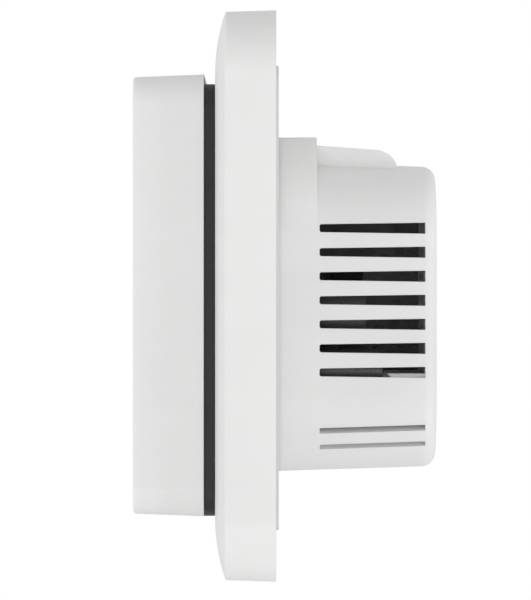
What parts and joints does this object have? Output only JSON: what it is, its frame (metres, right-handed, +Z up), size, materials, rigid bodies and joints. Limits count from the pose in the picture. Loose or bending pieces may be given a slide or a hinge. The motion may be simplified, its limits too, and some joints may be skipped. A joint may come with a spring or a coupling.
{
  "type": "wall thermostat",
  "caption": "Flush-mounted wall thermostat: display module with keys on a square cover frame, a mounting plate and a vented in-wall box with screw terminals.",
  "frame": {"origin": "centre of the wall plane, which is the back face of the mounting plate, midway between the level fixing screws", "axes": "-Y out of the wall towards the room, +X to the right and +Z up as seen from the room"},
  "size_m": [0.086, 0.0463, 0.086],
  "materials": {
    "white_satin": "fine satin moulding",
    "white_plain": "plain moulding",
    "white_gloss": "smooth",
    "black_moulding": "fine matte",
    "dark_window": "polished, smoked",
    "panel_glass": "polished",
    "clear_plastic": "polished",
    "board_green": "solder mask",
    "board_dark": "solder mask",
    "steel": "zinc plated",
    "brass": "machined",
    "copper": "enamelled wire",
    "ferrite": "sintered",
    "black_sleeve": "shrink sleeve",
    "grey_case": "moulded",
    "blue_lacquer": "dipped",
    "green_terminal": "moulded",
    "soft_rubber": "matte"
  },
  "bodies": {
    "base": {"mounting_plate": "white_plain", "rear_housing": "white_plain", "base_cover": "white_plain", "power_board": "board_green", "board_socket": "black_moulding", "terminal_block_mains": "green_terminal", "terminal_block_sensor": "green_terminal", "terminal_cages": "brass", "housing_screws": "steel", "relay_foot": "white_plain", "relay_hood": "white_gloss", "relay_coil": "copper", "relay_yoke": "steel", "relay_contact": "copper", "transformer_core": "ferrite", "transformer_winding": "copper", "input_capacitor": "grey_case", "varistor": "blue_lacquer", "fuse": "black_sleeve", "reservoir_capacitor": "black_sleeve", "output_capacitor": "black_sleeve", "upright_board": "board_dark", "optocoupler": "black_moulding", "filter_choke": "ferrite"},
    "armature": {"relay_armature": "steel"},
    "frame": {"outer_frame": "white_satin"},
    "display_module": {"display_back_cover": "black_moulding", "front_cover": "white_satin", "display_window": "dark_window", "display_board": "board_green", "display_panel": "panel_glass", "light_guide": "clear_plastic", "contact_strip": "soft_rubber", "display_holder": "white_plain", "controller_chip": "black_moulding", "backup_cell": "steel", "room_sensor": "black_sleeve", "status_lamp": "white_gloss", "light_pipe": "clear_plastic", "key_switches": "black_moulding", "display_plug": "black_moulding", "display_screws": "steel"},
    "key_down_press": {"key_down": "white_satin", "plunger_down": "grey_case"},
    "key_enter_press": {"key_enter": "white_satin", "plunger_enter": "grey_case"},
    "key_up_press": {"key_up": "white_satin", "plunger_up": "grey_case"},
    "clamp_1": {"pressure_shoe_1": "steel"},
    "screw_1": {"terminal_screw_1": "steel"},
    "clamp_2": {"pressure_shoe_2": "steel"},
    "screw_2": {"terminal_screw_2": "steel"},
    "clamp_3": {"pressure_shoe_3": "steel"},
    "screw_3": {"terminal_screw_3": "steel"},
    "clamp_4": {"pressure_shoe_4": "steel"},
    "screw_4": {"terminal_screw_4": "steel"},
    "clamp_5": {"pressure_shoe_5": "steel"},
    "screw_5": {"terminal_screw_5": "steel"},
    "clamp_6": {"pressure_shoe_6": "steel"},
    "screw_6": {"terminal_screw_6": "steel"}
  },
  "joints": [
    {"name": "frame_slide", "type": "slide", "parent": "base", "child": "frame", "axis": [0, -1, 0], "range_m": [0, 0.03]},
    {"name": "module_slide", "type": "slide", "parent": "frame", "child": "display_module", "axis": [0, -1, 0], "range_m": [0, 0.02]},
    {"name": "armature_pivot", "type": "hinge", "parent": "base", "child": "armature", "pos_m": [0.0055, 0.0156, -0.01773], "axis": [0, 0, 1], "range_deg": [0, 2.2], "stiffness_Nm_per_rad": 0.05},
    {"name": "key_down_travel", "type": "slide", "parent": "display_module", "child": "key_down_press", "axis": [0, 1, 0], "range_m": [0, 0.0005], "stiffness_N_per_m": 1500},
    {"name": "key_enter_travel", "type": "slide", "parent": "display_module", "child": "key_enter_press", "axis": [0, 1, 0], "range_m": [0, 0.0005], "stiffness_N_per_m": 1500},
    {"name": "key_up_travel", "type": "slide", "parent": "display_module", "child": "key_up_press", "axis": [0, 1, 0], "range_m": [0, 0.0005], "stiffness_N_per_m": 1500},
    {"name": "clamp_slide_1", "type": "slide", "parent": "base", "child": "clamp_1", "axis": [0, -1, 0], "range_m": [0, 0.0022]},
    {"name": "screw_turn_1", "type": "hinge", "parent": "clamp_1", "child": "screw_1", "pos_m": [-0.0125, 0.0056, 0.0214], "axis": [0, -1, 0], "range_deg": [0, 1584]},
    {"name": "clamp_slide_2", "type": "slide", "parent": "base", "child": "clamp_2", "axis": [0, -1, 0], "range_m": [0, 0.0022]},
    {"name": "screw_turn_2", "type": "hinge", "parent": "clamp_2", "child": "screw_2", "pos_m": [-0.0075, 0.0056, 0.0214], "axis": [0, -1, 0], "range_deg": [0, 1584]},
    {"name": "clamp_slide_3", "type": "slide", "parent": "base", "child": "clamp_3", "axis": [0, -1, 0], "range_m": [0, 0.0022]},
    {"name": "screw_turn_3", "type": "hinge", "parent": "clamp_3", "child": "screw_3", "pos_m": [-0.0025, 0.0056, 0.0214], "axis": [0, -1, 0], "range_deg": [0, 1584]},
    {"name": "clamp_slide_4", "type": "slide", "parent": "base", "child": "clamp_4", "axis": [0, -1, 0], "range_m": [0, 0.0022]},
    {"name": "screw_turn_4", "type": "hinge", "parent": "clamp_4", "child": "screw_4", "pos_m": [0.0025, 0.0056, 0.0214], "axis": [0, -1, 0], "range_deg": [0, 1584]},
    {"name": "clamp_slide_5", "type": "slide", "parent": "base", "child": "clamp_5", "axis": [0, -1, 0], "range_m": [0, 0.0022]},
    {"name": "screw_turn_5", "type": "hinge", "parent": "clamp_5", "child": "screw_5", "pos_m": [0.0075, 0.0056, 0.0214], "axis": [0, -1, 0], "range_deg": [0, 1584]},
    {"name": "clamp_slide_6", "type": "slide", "parent": "base", "child": "clamp_6", "axis": [0, -1, 0], "range_m": [0, 0.0022]},
    {"name": "screw_turn_6", "type": "hinge", "parent": "clamp_6", "child": "screw_6", "pos_m": [0.0125, 0.0056, 0.0214], "axis": [0, -1, 0], "range_deg": [0, 1584]}
  ],
  "couplings": [
    {"joint": "screw_turn_1", "follows": "clamp_slide_1", "rad_per_m": 12566},
    {"joint": "screw_turn_2", "follows": "clamp_slide_2", "rad_per_m": 12566},
    {"joint": "screw_turn_3", "follows": "clamp_slide_3", "rad_per_m": 12566},
    {"joint": "screw_turn_4", "follows": "clamp_slide_4", "rad_per_m": 12566},
    {"joint": "screw_turn_5", "follows": "clamp_slide_5", "rad_per_m": 12566},
    {"joint": "screw_turn_6", "follows": "clamp_slide_6", "rad_per_m": 12566}
  ]
}
